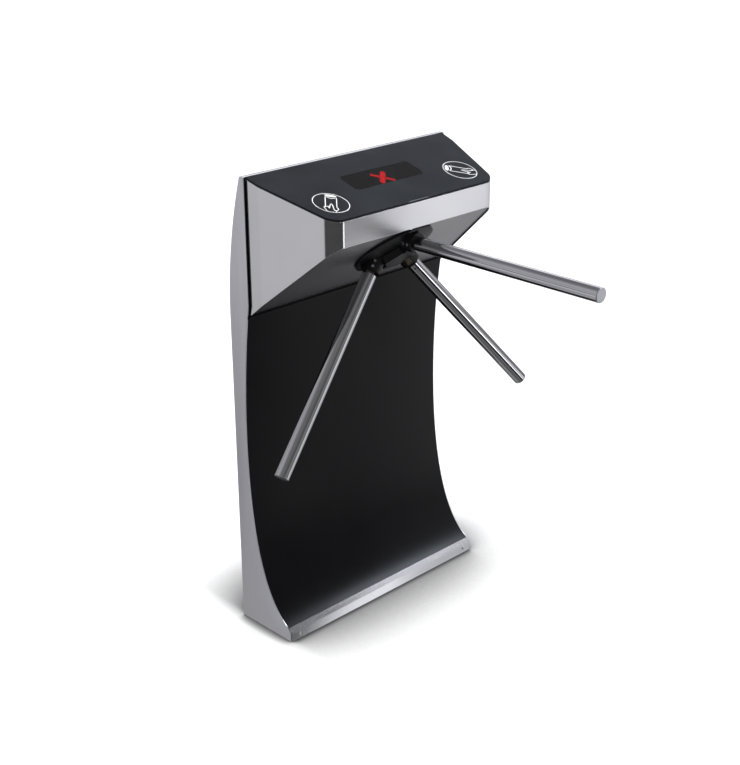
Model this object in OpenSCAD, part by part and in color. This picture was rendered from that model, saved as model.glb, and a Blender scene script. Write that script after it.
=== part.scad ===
// Tripod turnstile on a slim free-standing column.
// Axes: X to the right, Y to the back, Z up. The origin is on the floor, at the centre
// of the four anchor holes. A size called a depth is measured forward from the flat back.
// The tripod parts are drawn in the tripod frame: its origin is the point where the three
// arm axes meet, +Z runs out of the underside along the turning axis and +Y runs forward
// and up along the underside.

/* [Column] */
// Overall height
height = 1000; // [900:5:1150]
// Width over the two side plates
width = 569; // [520:1:680]
// Depth of the foot
foot_depth = 160; // [140:1:220]
// Depth of the column beside the head
neck_depth = 59.5; // [50:0.5:80]
// Height at which the back starts to lean forward
back_curve_start = 700; // [500:5:800]
// How far the back has leaned forward at the top
crown_depth = 46; // [20:1:50]
// Length of the front curve's upper handle
neck_handle = 164; // [100:1:220]
// Angle of the front curve's upper handle from upright
neck_handle_angle = 11; // [0:0.5:15]
// Length of the front curve's lower handle
foot_handle = 169; // [100:1:190]
// Angle of the front curve's lower handle from level
foot_handle_angle = 28.6; // [20:0.2:40]
// Thickness of the stainless sheet
sheet_t = 2; // [1.5:0.5:3]
// Thickness of the black front panel
panel_t = 3; // [2:0.5:4]
// Thickness of the inner ribs
rib_t = 4; // [3:0.5:6]
// Distance of each inner rib from the middle
rib_x = 170; // [155:1:200]

/* [Foot] */
// Height of the foot trim's upright face
trim_face = 20.5; // [12:0.5:30]
// Width and height of the foot trim's sloped face
trim_slope = 9; // [5:0.5:14]
// Distance of the trim screws from the ends
trim_screw_inset = 23; // [12:1:60]
// Thickness of the base plate
base_t = 10; // [8:1:15]
// Anchor hole spacing across
anchor_x = 440; // [400:5:500]
// Anchor hole spacing front to back
anchor_y = 100; // [90:1:120]
// Diameter of the anchor holes
anchor_d = 13; // [11:0.5:18]
// Diameter of the cable way through the base
cable_way_d = 40; // [25:1:60]

/* [Head] */
// Width of the head where it meets the column
head_width = 552; // [500:1:560]
// Width of the head's front, measured to the sharp corners
head_front_width = 459; // [430:1:500]
// Depth at which the head's front face lies
head_reach = 257; // [240:1:300]
// Depth at which the head starts
head_back = 57; // [52:0.5:60]
// Depth of the vertical bend line on the head's sides
bend_depth = 92; // [75:1:120]
// Height of the upright front face
face_h = 56.4; // [45:0.2:80]
// Slope of the top
top_slope = 16.9; // [8:0.1:20]
// Slope of the underside
under_slope = 40.3; // [36:0.1:45]
// Radius of the rounded front corners
corner_r = 38; // [20:1:50]
// Thickness of the black top cover
cover_t = 4; // [3:0.5:6]
// How far the underside plate sits inside the lower edges
under_recess = 3; // [0:0.5:5]
// Width of the display window
window_w = 194; // [120:1:220]
// Length of the display window along the slope
window_l = 58; // [40:1:80]
// Distance of the window's middle from the cover's back edge, along the slope
window_mid = 101; // [80:1:120]
// Sideways place of each card reader
reader_x = 183; // [175:1:190]
// Distance of each card reader from the cover's back edge, along the slope
reader_mid = 148; // [130:1:155]

/* [Tripod] */
// Outer diameter of the arms
arm_d = 30; // [28:0.5:34]
// Wall of the arm tubes
arm_wall = 1.5; // [1:0.1:2.5]
// Distance from the meeting point of the arm axes to an arm's tip
arm_reach = 546.5; // [450:0.5:650]
// Distance from the meeting point to where the steel tube starts
arm_start = 94; // [88:1:110]
// Distance of the hub's middle from the front lower edge, along the underside
hub_from_edge = 92.5; // [90:0.5:110]
// Depth of the meeting point behind the lower edges
apex_inset = 32.6; // [25:0.2:40]
// Radius of the hub's dished flange
hub_r = 89; // [80:1:91]
// Radius of the sockets that hold the arms
socket_r = 21; // [18:0.5:23]

/* [Mechanism] */
// Diameter of the main shaft
shaft_d = 25; // [20:1:28]
// Outer diameter of the shaft bearings
bearing_d = 52; // [47:1:56]
// Width of the shaft bearings
bearing_w = 15; // [12:1:16]
// Half width of the two bearing plates
frame_x = 145; // [140:1:150]
// Thickness of the bearing plates
frame_t = 8; // [6:1:8]
// Radius of the lock disc
lock_r = 50; // [46:1:52]
// Notches in the lock disc
lock_notches = 12; // [12:12:12]
// Depth of each notch
notch_depth = 6; // [5.5:0.5:7]
// Largest radius of the index cam
cam_r = 48; // [42:1:49]
// Depth of the cam's three hollows
cam_hollow = 7; // [4:0.5:10]
// Radius of the index roller
roller_r = 9; // [7:0.5:11]
// Tooth size (module) of the damper gears
gear_module = 2.5; // [2.5:0.5:2.5]
// Teeth on the shaft gear
gear_teeth = 32; // [32:2:32]
// Teeth on the damper pinion
pinion_teeth = 16; // [16:2:16]
// Running clearance on pivot pins, radial
pin_gap = 0.05; // [0.02:0.01:0.1]

/* [Hidden] */
$fn = 48;

// The arms leave the turning axis at the angle that makes the forward arm level.
arm_cone = 90 - under_slope;
ARM_TURNS = [90, 210, 330];
curve_steps = 28;
corner_steps = 20;
fit_gap = 0.3;

function y_at(depth) = foot_depth / 2 - depth;
function turned(v, a) = [v[0] * cos(a) - v[1] * sin(a), v[0] * sin(a) + v[1] * cos(a)];

// ---- outlines in the depth-height plane ----
function top_z(depth) = height - (depth - head_back) * tan(top_slope);
front_top_z = top_z(head_reach);
front_low_z = front_top_z - face_h;
function under_z(depth) = front_low_z - (head_reach - depth) * tan(under_slope);
head_low_z = under_z(head_back);
cover_drop = cover_t / cos(top_slope);

// The front of the column is one cubic curve from the neck to the trim's top edge.
neck = [neck_depth, head_low_z + 22];
toe = [foot_depth - trim_slope, trim_face + trim_slope];
handle_1 = neck + neck_handle * [-sin(neck_handle_angle), -cos(neck_handle_angle)];
handle_2 = toe + foot_handle * [-cos(foot_handle_angle), sin(foot_handle_angle)];
function front_point(t) = pow(1 - t, 3) * neck + 3 * pow(1 - t, 2) * t * handle_1
    + 3 * (1 - t) * t * t * handle_2 + pow(t, 3) * toe;
function front_slope(t) = 3 * pow(1 - t, 2) * (handle_1 - neck) + 6 * (1 - t) * t * (handle_2 - handle_1)
    + 3 * t * t * (toe - handle_2);
function inward(t) = let(s = front_slope(t)) [s[1], -s[0]] / norm(s);
function front_curve(inset, last = 1) = [for (i = [0:curve_steps]) let(t = last * i / curve_steps)
    front_point(t) + inset * inward(t)];

// The back is flat, then one arc leans it forward.
back_rise = height - back_curve_start;
back_r = (pow(back_rise, 2) + pow(crown_depth, 2)) / (2 * crown_depth);
function back_curve(inset, to_z = height) = let(r = back_r - inset, a_end = asin((to_z - back_curve_start) / r))
    [for (i = [0:12]) let(a = a_end * i / 12) [back_r - r * cos(a), back_curve_start + r * sin(a)]];

// The trim's outline, inset by the sheet.
diagonal = sqrt(0.5);
trim_outer = [toe, [foot_depth, trim_face], [foot_depth, 0]];
trim_inner = [[foot_depth - sheet_t, 0], [foot_depth - sheet_t, trim_face - sheet_t * tan(22.5)],
    toe - sheet_t * diagonal * [1, 1]];

module side_outline(points) polygon([for (p = points) [y_at(p[0]), p[1]]]);

// Carries a depth-height outline along X from x0 to x1.
module across(x0, x1) translate([x0, 0, 0]) rotate([90, 0, 90]) linear_extrude(x1 - x0) children();

// ---- head in plan ----
head_half = head_width / 2;
side_angle = atan((head_half - head_front_width / 2) / (head_reach - bend_depth));

// Outline of the head inset by a wall: straight back part, bend, slanting side, round corner.
module head_plan(inset, back = head_back) {
    centre_y = head_reach - corner_r;
    centre_x = head_half - (corner_r + (centre_y - bend_depth) * sin(side_angle)) / cos(side_angle);
    corner = [for (i = [0:corner_steps]) let(a = side_angle + (90 - side_angle) * i / corner_steps)
        [centre_x, centre_y] + (corner_r - inset) * [cos(a), sin(a)]];
    half = concat([[head_half - inset, back],
        [head_half - inset, bend_depth - inset * tan(side_angle / 2)]], corner);
    last = len(half) - 1;
    polygon([for (p = half) [p[0], y_at(p[1])], for (i = [last:-1:0]) [-half[i][0], y_at(half[i][1])]]);
}

// The head's outer block between two heights given as functions of depth.
module head_block(inset, low_drop, high_drop, back = head_back) intersection() {
    linear_extrude(height + 100) head_plan(inset, back);
    across(-head_half - 1, head_half + 1) side_outline([
        [back, under_z(back) - low_drop], [back, top_z(back) - high_drop],
        [head_reach + 1, top_z(head_reach + 1) - high_drop],
        [head_reach + 1, under_z(head_reach + 1) - low_drop]]);
}

// Puts children on the sloping top: +X right, +Y up the slope, Z out of it, at a distance
// from the cover's back edge.
module on_top(along) translate([0, y_at(head_back + along * cos(top_slope)), height - along * sin(top_slope)])
    rotate([top_slope, 0, 0]) children();

// ---- tripod frame ----
hub_depth = head_reach - hub_from_edge * cos(under_slope);
hub_z = front_low_z - hub_from_edge * sin(under_slope);
apex_depth = hub_depth - apex_inset * cos(arm_cone);
apex_z = hub_z + apex_inset * sin(arm_cone);
module tripod_frame() translate([0, y_at(apex_depth), apex_z]) rotate([90 + arm_cone, 0, 0]) children();

// Runs children along one arm: Z is the arm's axis, -X faces away from the flange.
module along_arm(turn) rotate([0, 0, turn]) rotate([0, arm_cone, 0]) children();

module ring(outer, inner, z0, z1) translate([0, 0, z0]) difference() {
    cylinder(r = outer, h = z1 - z0);
    translate([0, 0, -1]) cylinder(r = inner, h = z1 - z0 + 2);
}

// Heights along the turning axis, from the flange inwards.
flange_z = apex_inset - 1;
flange_t = 3.5;
front_plate_z = 6;
rear_plate_z = -48;
bearing_front_z = front_plate_z;
bearing_rear_z = -45;
lock_z = -12;
lock_t = 8;
cam_z = -26;
cam_t = 12;
encoder_z = -66;
encoder_t = 2;
encoder_r = 34;
gear_z = -78;
gear_t = 6;
nut_z = gear_z - gear_t;
nut_t = 9;
shaft_end_z = nut_z - nut_t - 3;
shaft_r = shaft_d / 2;
bearing_r = bearing_d / 2;
inner_ring_r = shaft_r + 4;
boss_wall = 8;
frame_low_y = -75;
frame_high_y = 70;
spacer_x = frame_x - 13;
spacer_y = 60;
spacer_r = 6;

// ---- column ----
module side_plate(x0) color("silver") across(x0, x0 + sheet_t) side_outline(concat(
    [[0, 0]], back_curve(0), [[neck_depth, height]], front_curve(0),
    [trim_inner[2], trim_inner[1], trim_inner[0]]));
module left_side_plate() side_plate(-width / 2);
module right_side_plate() side_plate(width / 2 - sheet_t);
inside_x = width / 2 - sheet_t;

module back_cover() color("silver") across(-inside_x, inside_x) side_outline(concat(
    [[0, 0]], back_curve(0), [for (i = [12:-1:0]) back_curve(sheet_t)[i]], [[sheet_t, 0]]));

// The black panel follows the front curve and stops under the head and against the trim.
module front_panel() color([0.1, 0.1, 0.11]) across(-inside_x, inside_x) {
    end_cut = panel_t / cos(45 - foot_handle_angle) * diagonal * [1, 1];
    inner = front_curve(panel_t);
    intersection() {
        side_outline(concat(front_curve(0), [toe - end_cut],
            [for (i = [curve_steps - 1:-1:0]) inner[i]]));
        translate([y_at(foot_depth), 0]) square([foot_depth, head_low_z - fit_gap]);
    }
}

module base_plate() color("dimgray") difference() {
    translate([-inside_x, y_at(foot_depth - sheet_t), 0])
        cube([2 * inside_x, foot_depth - 2 * sheet_t, base_t]);
    for (x = [-1, 1], y = [-1, 1]) translate([x * anchor_x / 2, y * anchor_y / 2, -1])
        cylinder(d = anchor_d, h = base_t + 2);
    translate([0, 0, -1]) cylinder(r = grommet_seat_r, h = base_t + 2);
}

grommet_wall = 4;
grommet_seat_r = cable_way_d / 2 + grommet_wall;
module cable_grommet() color([0.12, 0.12, 0.12]) {
    ring(grommet_seat_r, cable_way_d / 2, fit_gap, base_t + 4);
    ring(grommet_seat_r + 5, cable_way_d / 2, base_t, base_t + 4);
}

// Shaped inner ribs stand on the base plate and carry the panel, the back and the head.
module rib(x0) color("darkgray") across(x0, x0 + rib_t) {
    front = front_curve(panel_t + fit_gap, 0.95);
    difference() {
        side_outline(concat([[sheet_t + fit_gap, base_t]], back_curve(sheet_t + fit_gap, strip_low_z - 1),
            [[head_back - mount_t, strip_low_z - 1], [head_back - mount_t, head_low_z],
                [head_back - mount_t - 2, head_low_z]],
            [for (p = front) if (p[1] < head_low_z - 1 && p[1] > base_t + 6) p],
            [[foot_depth - trim_slope - 12, base_t]]));
        for (z = [850, 900, 950]) translate([y_at(34), z * height / 1000]) circle(8);
        translate([y_at(55), 75]) circle(22);
        translate([y_at(28), 165]) circle(13);
    }
}
module left_rib() rib(-rib_x - rib_t);
module right_rib() rib(rib_x);

module foot_trim() color("lightgray") difference() {
    across(-width / 2, width / 2) side_outline(concat(trim_outer, trim_inner));
    trim_screw_places() translate([0, 0, -1]) cylinder(r = 2.1, h = 10);
}

// Screw places on the trim's upright face; Z points out of the face.
module trim_screw_places() for (side = [-1, 1])
    translate([side * (width / 2 - trim_screw_inset), y_at(foot_depth - sheet_t), trim_face / 2 + 1])
        rotate([90, 0, 0]) children();

module foot_trim_screws() color("silver") trim_screw_places() difference() {
    union() {
        cylinder(r = 2, h = sheet_t);
        translate([0, 0, sheet_t]) cylinder(r1 = 4, r2 = 3.2, h = 1.4);
    }
    translate([0, 0, sheet_t + 0.6]) cylinder(r = 1.4, h = 2, $fn = 6);
}

// ---- head ----
mount_t = 3;
strip_low_z = height - 4;
module top_strip() color("silver") across(-inside_x, inside_x) side_outline([
    [crown_depth + sheet_t + fit_gap, height - 0.6], [crown_depth + sheet_t + fit_gap, strip_low_z],
    [head_back, strip_low_z], [head_back, height - 0.6]]);

module head_mount_plate() color([0.15, 0.15, 0.16]) across(-inside_x, inside_x) side_outline([
    [head_back - mount_t, head_low_z], [head_back - mount_t, strip_low_z],
    [head_back, strip_low_z], [head_back, head_low_z]]);

module head_shell() color("silver") difference() {
    head_block(0, 0, cover_drop);
    translate([0, 0, -1]) linear_extrude(height + 200) head_plan(sheet_t, head_back - 1);
}

// Closes the head below, a little inside the lower edges, with a round way for the hub.
module underside_plate() color("gray") difference() {
    intersection() {
        linear_extrude(height) head_plan(sheet_t);
        tripod_frame() translate([-head_half, -head_width, apex_inset - under_recess - sheet_t])
            cube([2 * head_half, 2 * head_width, sheet_t]);
    }
    tripod_frame() cylinder(r = hub_way_r, h = 100, center = true);
}
hub_way_r = 46;

module rounded_slab(w, l, t, r) linear_extrude(t) {
    square([w - 2 * r, l], center = true);
    square([w, l - 2 * r], center = true);
    for (x = [-1, 1], y = [-1, 1]) translate([x * (w / 2 - r), y * (l / 2 - r)]) circle(r);
}
window_r = 12;

module top_cover() color([0.14, 0.15, 0.16]) difference() {
    intersection() {
        linear_extrude(height + 100) head_plan(0);
        across(-head_half - 1, head_half + 1) side_outline([
            [head_back, top_z(head_back) - cover_drop], [head_back, top_z(head_back)],
            [head_reach + 1, top_z(head_reach + 1)], [head_reach + 1, top_z(head_reach + 1) - cover_drop]]);
    }
    on_top(window_mid) translate([0, 0, -cover_t - 1])
        rounded_slab(window_w, window_l, cover_t + 2, window_r);
}

module display_window() color([0.2, 0.2, 0.21, 0.6]) on_top(window_mid) translate([0, 0, -cover_t])
    rounded_slab(window_w, window_l, cover_t, window_r);

board_t = 1.6;
led_gap = 4;
module display_board() color([0.05, 0.15, 0.08]) on_top(window_mid) {
    top = -cover_t - led_gap;
    translate([-window_w / 2 - 8, -window_l / 2, top - 6]) cube([window_w + 16, window_l, board_t]);
    translate([-window_w / 2 + 12, -window_l / 2 + 6, top - 6 + board_t])
        cube([window_w - 24, window_l - 12, 6 - board_t]);
    for (x = [-1, 1], y = [-1, 1]) translate([x * (window_w / 2 + 4), y * (window_l / 2 - 5), top - 6])
        cylinder(r = 3, h = 6 + led_gap);
}

reader_size = 68;
reader_t = 11;
reader_gap = 0.2;
module card_reader(side) color([0.16, 0.17, 0.2]) translate([side * reader_x, 0, 0]) on_top(reader_mid)
    translate([0, 0, -cover_t - reader_gap - reader_t]) rounded_slab(reader_size, reader_size, reader_t, 6);
module left_card_reader() card_reader(-1);
module right_card_reader() card_reader(1);

// The electronics hang on the front of the mount plate, left and right of the mechanism.
module on_mount_plate(x, z) translate([x, y_at(head_back), z]) rotate([90, 0, 0]) children();
electronics_z = head_low_z + 85;
module controller_board() color([0.05, 0.25, 0.12]) on_mount_plate(-262, electronics_z) {
    translate([0, 0, 8]) cube([88, 130, board_t]);
    for (x = [5, 83], y = [5, 125]) translate([x, y, 0]) cylinder(r = 3, h = 8);
    translate([12, 60, 8 + board_t]) cube([28, 28, 3]);
    for (y = [16, 36, 96]) translate([62, y, 8 + board_t]) cube([14, 16, 11]);
    for (x = [16, 34]) translate([x, 24, 8 + board_t]) cylinder(r = 5, h = 14);
}
module power_supply() color("lightgray") on_mount_plate(176, electronics_z) {
    cube([88, 130, 34]);
    translate([6, -9, 3]) cube([76, 9, 18]);
}

// ---- mechanism frame ----
// Side brackets carry both bearing plates from the mount plate.
module bracket(side) color("darkgray") {
    x0 = side > 0 ? frame_x : -frame_x - rib_t;
    low = [apex_depth - 48, apex_z - 60];
    across(x0, x0 + rib_t) side_outline([
        [head_back, apex_z - 60], [head_back, apex_z + 90], [head_back + 40, apex_z + 98],
        [apex_depth + 20, apex_z + 91], [apex_depth + 68, apex_z + 47], low]);
    translate([side > 0 ? frame_x : -frame_x - 22, y_at(head_back + rib_t), apex_z - 60])
        cube([22, rib_t, 150]);
}
module left_bracket() bracket(-1);
module right_bracket() bracket(1);

module hex_bolt(r, h) cylinder(r = r, h = h, $fn = 6);
module bracket_bolts() color("silver") for (side = [-1, 1], z = [-45, 0, 45])
    translate([side * (frame_x + 14), y_at(head_back + rib_t), apex_z + 15 + z])
        rotate([90, 0, 0]) hex_bolt(6, 4);

module bearing_plate(z_top, bearing_top) difference() {
    union() {
        translate([-frame_x, frame_low_y, z_top - frame_t])
            cube([2 * frame_x, frame_high_y - frame_low_y, frame_t]);
        translate([0, 0, bearing_top - bearing_w]) cylinder(r = bearing_r + boss_wall, h = bearing_w);
    }
    translate([0, 0, bearing_top - bearing_w - 1]) cylinder(r = bearing_r, h = bearing_w + 2);
    for (x = [-1, 1], y = [-1, 1]) translate([x * spacer_x, y * spacer_y, z_top - frame_t - 1])
        cylinder(r = 3.2, h = frame_t + 2);
}
module front_bearing_plate() color("darkgray") tripod_frame() bearing_plate(front_plate_z, bearing_front_z);
module rear_bearing_plate() color("darkgray") tripod_frame() bearing_plate(rear_plate_z, bearing_rear_z);

module at_spacers() for (x = [-1, 1], y = [-1, 1]) translate([x * spacer_x, y * spacer_y, 0]) children();
module frame_spacers() color("silver") tripod_frame() at_spacers()
    translate([0, 0, rear_plate_z]) cylinder(r = spacer_r, h = front_plate_z - frame_t - rear_plate_z);
module frame_bolts() color("silver") tripod_frame() at_spacers() {
    translate([0, 0, front_plate_z]) hex_bolt(5.5, 4);
    translate([0, 0, front_plate_z - frame_t]) cylinder(r = 3.1, h = frame_t);
    translate([0, 0, rear_plate_z - frame_t - 4]) hex_bolt(5.5, 4);
    translate([0, 0, rear_plate_z - frame_t]) cylinder(r = 3.1, h = frame_t);
}

module bearing_outer(z_top) ring(bearing_r, inner_ring_r + 0.1, z_top - bearing_w, z_top);
module front_bearing_outer() color("silver") tripod_frame() bearing_outer(bearing_front_z);
module rear_bearing_outer() color("silver") tripod_frame() bearing_outer(bearing_rear_z);
module bearing_inner_rings() color("silver") tripod_frame()
    for (z = [bearing_front_z, bearing_rear_z]) ring(inner_ring_r, shaft_r, z - bearing_w, z);

// ---- lock pawls and solenoids ----
// A pawl's tooth points at the lock disc along a radius; its pivot lies on the tangent there.
pawl_turn = 30;
tooth_gap = 0.7;
tooth_len = notch_depth;
tooth_r = lock_r + tooth_gap;
pawl_arm = 52;
tooth_tip = turned([tooth_r, 0], pawl_turn);
pawl_pivot = tooth_tip + turned([0, -pawl_arm], pawl_turn);
pawl_z = lock_z - 1;
pawl_t = 6;
pawl_pin_r = 4;
tail_len = 38;
plunger_x = pawl_pivot[0] + tail_len;
plunger_z = pawl_z - pawl_t / 2;
link_pin_r = 2;

// Flat pawl: boss on the pin, arm along the tangent, wedge tooth, and a tail for the link pin.
module pawl(side) color("goldenrod") tripod_frame() mirror([side < 0 ? 1 : 0, 0, 0])
    translate([0, 0, pawl_z - pawl_t]) difference() {
        union() {
            translate(pawl_pivot) cylinder(r = 11, h = pawl_t);
            rotate(pawl_turn) linear_extrude(pawl_t) polygon([[tooth_r, -1.6], [tooth_r, 1.6],
                [tooth_r + tooth_len, 2.8], [tooth_r + 12, 4], [tooth_r + 12, 2 - pawl_arm],
                [tooth_r + 3, 2 - pawl_arm], [tooth_r + tooth_len + 1, -10],
                [tooth_r + tooth_len, -2.8]]);
            translate(pawl_pivot - [0, 5]) cube([tail_len, 10, pawl_t]);
            translate([plunger_x, pawl_pivot[1], 0]) cylinder(r = 5.5, h = pawl_t);
        }
        translate([pawl_pivot[0], pawl_pivot[1], -1]) cylinder(r = pawl_pin_r + pin_gap, h = pawl_t + 2);
        translate([plunger_x, pawl_pivot[1], -1]) cylinder(r = link_pin_r + 0.35, h = pawl_t + 2);
    }
module left_pawl() pawl(-1);
module right_pawl() pawl(1);

module pawl_pins() color("silver") tripod_frame() for (side = [-1, 1])
    translate([side * pawl_pivot[0], pawl_pivot[1], 0]) {
        pin_end = pawl_z - pawl_t - 3;
        translate([0, 0, pin_end]) cylinder(r = pawl_pin_r, h = front_plate_z - frame_t - pin_end);
        translate([0, 0, pin_end]) cylinder(r = 7, h = 1.5);
    }

solenoid_low_y = 6;
solenoid_len = 42;
solenoid_w = 24;
solenoid_back_z = front_plate_z - frame_t;
plunger_r = 4;
module solenoid(side) color([0.75, 0.6, 0.2]) tripod_frame() difference() {
    translate([side * plunger_x - solenoid_w / 2, solenoid_low_y, 2 * plunger_z - solenoid_back_z])
        cube([solenoid_w, solenoid_len, 2 * (solenoid_back_z - plunger_z)]);
    translate([side * plunger_x, solenoid_low_y - 1, plunger_z]) rotate([-90, 0, 0])
        cylinder(r = plunger_r + 0.1, h = solenoid_len - 5);
}
module left_solenoid() solenoid(-1);
module right_solenoid() solenoid(1);

// The plunger ends in a fork over the pawl's tail, with a cross pin.
module plunger(side) color("gray") tripod_frame() translate([side * plunger_x, 0, plunger_z]) {
    fork_t = 2.5;
    fork_w = 10;
    fork_z = pawl_t / 2 + fit_gap;
    fork_top_y = pawl_pivot[1] + 14;
    translate([-fork_w / 2, pawl_pivot[1] - 5, -fork_z - fork_t]) difference() {
        cube([fork_w, fork_top_y - pawl_pivot[1] + 5, 2 * (fork_z + fork_t)]);
        translate([-1, -1, fork_t]) cube([fork_w + 2, 16, 2 * fork_z]);
    }
    translate([0, fork_top_y - 1, 0]) rotate([-90, 0, 0])
        cylinder(r = plunger_r, h = 27 + solenoid_low_y - fork_top_y);
    translate([0, pawl_pivot[1], -fork_z - fork_t - 1]) cylinder(r = link_pin_r, h = 2 * (fork_z + fork_t + 1));
}
module left_plunger() plunger(-1);
module right_plunger() plunger(1);

// ---- index lever and roller ----
roller_y = cam_r + roller_r + 0.4;
lever_z = cam_z - cam_t - 1;
lever_t = 4;
lever_pivot_x = -72;
lever_end_x = 58;
lever_pin_r = 5;
roller_pin_r = 3;
module index_lever() color("goldenrod") tripod_frame() {
    translate([0, 0, lever_z - lever_t]) difference() {
        linear_extrude(lever_t) {
            translate([lever_pivot_x, roller_y - 7]) square([lever_end_x - lever_pivot_x, 14]);
            translate([lever_pivot_x, roller_y]) circle(10);
            translate([lever_end_x, roller_y]) circle(7.5);
        }
        translate([lever_pivot_x, roller_y, -1]) cylinder(r = lever_pin_r + pin_gap, h = lever_t + 2);
        translate([lever_end_x, roller_y, -1]) cylinder(r = 2, h = lever_t + 2);
    }
    translate([0, roller_y, lever_z]) cylinder(r = roller_pin_r, h = cam_t + 2);
}
module index_roller() color("silver") tripod_frame() translate([0, roller_y, 0])
    ring(roller_r, roller_pin_r + pin_gap, lever_z + 0.5, cam_z);
module lever_pin() color("silver") tripod_frame() translate([lever_pivot_x, roller_y, 0]) {
    translate([0, 0, rear_plate_z]) cylinder(r = 8, h = lever_z - lever_t - fit_gap - rear_plate_z);
    translate([0, 0, rear_plate_z]) cylinder(r = lever_pin_r, h = lever_z + 2 - rear_plate_z);
    translate([0, 0, lever_z + fit_gap]) cylinder(r = 8, h = 1.7);
}

// ---- parts on the shaft ----
module main_shaft() color("silver") tripod_frame() {
    translate([0, 0, nut_z]) cylinder(r = shaft_r, h = hub_bore_top_z - nut_z);
    translate([0, 0, shaft_end_z]) cylinder(r = shaft_r - 2.5, h = nut_z - shaft_end_z);
}
module shaft_spacers() color("gray") tripod_frame() {
    spacer = shaft_r + 5.5;
    ring(spacer, shaft_r, lock_z, bearing_front_z - bearing_w);
    ring(spacer, shaft_r, cam_z, lock_z - lock_t);
    ring(spacer - 2, shaft_r, bearing_rear_z, cam_z - cam_t);
    ring(spacer - 2, shaft_r, encoder_z, bearing_rear_z - bearing_w);
    ring(spacer, shaft_r, gear_z, encoder_z - encoder_t);
}

// Toothed lock disc: straight-sided notches, one in line with each pawl's tooth at rest.
module lock_disc() color("silver") tripod_frame() translate([0, 0, lock_z - lock_t]) linear_extrude(lock_t)
    difference() {
        circle(lock_r, $fn = 96);
        circle(shaft_r);
        for (i = [0:lock_notches - 1]) rotate(i * 360 / lock_notches)
            polygon([[lock_r - notch_depth, -3.4], [lock_r - notch_depth, 3.4], [lock_r + 2, 5.2],
                [lock_r + 2, -5.2]]);
        for (i = [0:2]) rotate(i * 120 + 15) translate([30, 0]) circle(7);
    }

// Three-lobed cam: its radius dips once in each third of a turn.
module index_cam() color("silver") tripod_frame() translate([0, 0, cam_z - cam_t]) linear_extrude(cam_t)
    difference() {
        polygon([for (a = [0:4:356]) (cam_r - cam_hollow * (1 + cos(3 * (a - 90))) / 2) * [cos(a), sin(a)]]);
        circle(shaft_r);
    }

module encoder_disc() color("lightgray") tripod_frame() translate([0, 0, encoder_z - encoder_t])
    linear_extrude(encoder_t) difference() {
        circle(encoder_r);
        circle(shaft_r);
        for (i = [0:17]) rotate(i * 20) translate([encoder_r - 7, -1.5]) square([4, 3]);
    }
module sensor_board() color([0.05, 0.25, 0.12]) tripod_frame() {
    board_y = -encoder_r - 9;
    translate([-15, board_y - 12, rear_plate_z - frame_t - 18]) cube([30, board_t, 18]);
    for (z = [encoder_z + 2, encoder_z - encoder_t - 6]) for (x = [-9, 3])
        translate([x, board_y - 12 + board_t, z]) cube([6, 18, 4]);
}

// Involute teeth; the half angle of a tooth narrows with radius as the involute unwinds.
pressure = 20;
backlash_angle = 0.35;
function inv(a) = tan(a) * 180 / PI - a;
function tooth_half(teeth, r) = let(pitch = gear_module * teeth / 2, base = pitch * cos(pressure))
    90 / teeth - backlash_angle * 32 / teeth + inv(pressure) - inv(acos(min(1, base / r)));
function gear_points(teeth) = let(pitch = gear_module * teeth / 2, base = pitch * cos(pressure),
    root = pitch - 1.05 * gear_module, tip = pitch + 0.8 * gear_module, low = max(base, root))
    [for (i = [0:teeth - 1]) each let(
        flank = [for (k = [0:4]) low + (tip - low) * k / 4],
        mid = i * 360 / teeth,
        rise = [for (r = flank) r * [cos(mid - tooth_half(teeth, r)), sin(mid - tooth_half(teeth, r))]],
        fall = [for (k = [4:-1:0]) let(r = flank[k]) r * [cos(mid + tooth_half(teeth, r)),
            sin(mid + tooth_half(teeth, r))]],
        foot = tooth_half(teeth, low))
        concat([root * [cos(mid - foot), sin(mid - foot)]], rise, fall,
            [root * [cos(mid + foot), sin(mid + foot)]])];

module shaft_gear() color("goldenrod") tripod_frame() translate([0, 0, gear_z - gear_t])
    linear_extrude(gear_t) difference() {
        polygon(gear_points(gear_teeth));
        circle(shaft_r);
    }
gear_distance = gear_module * (gear_teeth + pinion_teeth) / 2;
damper_pin_r = 4;
module damper_pinion() color("gray") tripod_frame() translate([gear_distance, 0, 0]) {
    translate([0, 0, gear_z - gear_t]) linear_extrude(gear_t)
        rotate(180 / pinion_teeth) polygon(gear_points(pinion_teeth));
    translate([0, 0, gear_z]) cylinder(r = damper_pin_r, h = 12);
}
module rotary_damper() color([0.2, 0.2, 0.22]) tripod_frame() translate([gear_distance, 0, 0]) {
    body_low = gear_z + 3;
    difference() {
        union() {
            translate([0, 0, body_low]) cylinder(r = 19, h = rear_plate_z - frame_t - body_low);
            translate([-7, -30, rear_plate_z - frame_t - 3]) cube([14, 60, 3]);
        }
        translate([0, 0, body_low - 1]) cylinder(r = damper_pin_r + pin_gap, h = 12);
    }
}

module shaft_nut() color("silver") tripod_frame() {
    ring(18, shaft_r - 2.5, nut_z - 2, nut_z);
    translate([0, 0, nut_z - nut_t]) difference() {
        cylinder(r = 17, h = nut_t - 2, $fn = 6);
        translate([0, 0, -1]) cylinder(r = shaft_r - 2.5, h = nut_t);
    }
}

// ---- hub and arms ----
hub_bore_top_z = flange_z + 16;
neck_r = 28;
slot_w = 17;
tongue = slot_w - 0.2;
socket_end = arm_start - 6;
boss_top_z = flange_z + 28;
crown_r = 41;

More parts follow.
